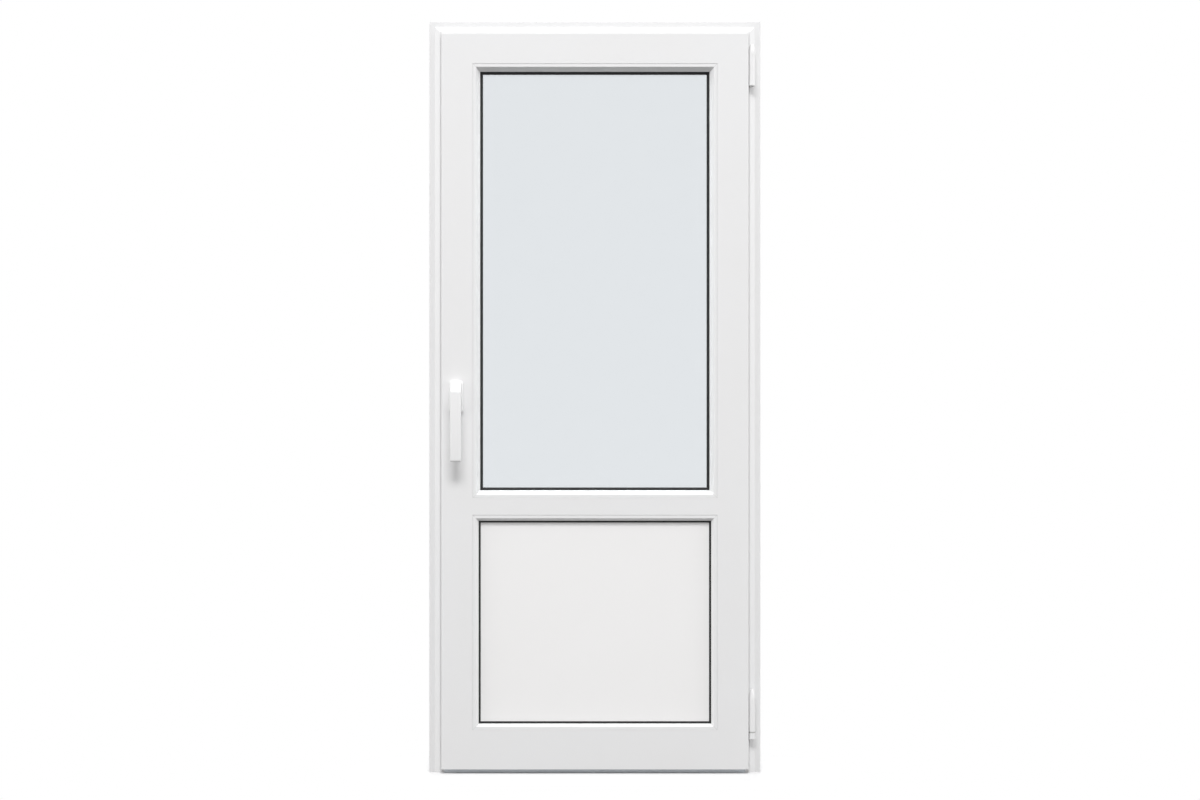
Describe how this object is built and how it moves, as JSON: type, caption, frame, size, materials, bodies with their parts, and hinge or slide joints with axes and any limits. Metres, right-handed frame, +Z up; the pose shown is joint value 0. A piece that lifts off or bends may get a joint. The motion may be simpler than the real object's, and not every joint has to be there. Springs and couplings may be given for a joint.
{
  "type": "tilt-and-turn door",
  "caption": "White plastic balcony door, glazed above a solid panel, in its frame with a low threshold; the sash turns on side hinges or tilts inwards at the top.",
  "frame": {"origin": "on the underside of the frame, midway between the jambs and in the middle of their depth", "axes": "+Z up, +X along the door towards the hinges, +Y outdoors"},
  "size_m": [0.9, 0.1415, 2.04],
  "materials": {
    "white_profile": "satin white plastic extrusion",
    "white_bead": "satin white plastic extrusion",
    "black_rubber": "matt black sealing rubber",
    "brush_pile": "dense dark grey pile",
    "clear_glass": "clear float glass with a faint cool tint",
    "spacer_metal": "plain rolled metal",
    "panel_skin": "satin white sheet",
    "panel_foam": "rigid foam",
    "threshold_metal": "anodised, ribbed tread",
    "threshold_plastic": "black plastic",
    "white_metal": "white coated die casting",
    "steel": "bright zinc plated"
  },
  "bodies": {
    "frame": {"frame_lock_jamb": "white_profile", "frame_hinge_jamb": "white_profile", "frame_head": "white_profile", "frame_seal": "black_rubber", "threshold": "threshold_metal", "threshold_core": "threshold_plastic", "striker_lower": "steel", "striker_middle": "steel", "striker_upper": "steel", "corner_bearing": "white_metal", "corner_pin": "steel", "stay_bearing": "white_metal", "stay_pin": "steel"},
    "hinge_carrier": {"corner_hinge": "white_metal"},
    "sash": {"sash_lock_stile": "white_profile", "sash_hinge_stile": "white_profile", "sash_top_rail": "white_profile", "sash_bottom_rail": "white_profile", "sash_transom": "white_profile", "upper_bead_left": "white_bead", "upper_bead_top": "white_bead", "upper_bead_right": "white_bead", "upper_bead_bottom": "white_bead", "lower_bead_left": "white_bead", "lower_bead_top": "white_bead", "lower_bead_right": "white_bead", "lower_bead_bottom": "white_bead", "sash_seal": "black_rubber", "upper_inner_gasket": "black_rubber", "upper_outer_gasket": "black_rubber", "lower_inner_gasket": "black_rubber", "lower_outer_gasket": "black_rubber", "bottom_brush": "brush_pile", "glass_inner_pane": "clear_glass", "glass_outer_pane": "clear_glass", "glass_spacer": "spacer_metal", "panel_inner_skin": "panel_skin", "panel_outer_skin": "panel_skin", "panel_core": "panel_foam", "handle_rose": "white_metal", "corner_plate": "steel", "stay_rail": "steel", "gear_faceplate": "steel"},
    "stay": {"stay_arm": "steel"},
    "handle": {"handle_grip": "white_metal"}
  },
  "joints": [
    {"name": "turn", "type": "hinge", "parent": "frame", "child": "hinge_carrier", "pos_m": [0.4255, -0.046, 0.15], "axis": [0, 0, -1], "range_deg": [-90, 0]},
    {"name": "tilt", "type": "hinge", "parent": "hinge_carrier", "child": "sash", "pos_m": [0.4, -0.029, 0.038], "axis": [1, 0, 0], "range_deg": [0, 4.4]},
    {"name": "stay_swing", "type": "hinge", "parent": "hinge_carrier", "child": "stay", "pos_m": [0.4255, -0.046, 1.95], "axis": [0, 0, 1], "range_deg": [0, 21.9]},
    {"name": "handle_turn", "type": "hinge", "parent": "sash", "child": "handle", "pos_m": [-0.375, -0.055, 1.02], "axis": [0, -1, 0], "range_deg": [0, 180]}
  ],
  "couplings": [
    {"joint": "stay_swing", "follows": "tilt", "ratio": 4.955}
  ]
}
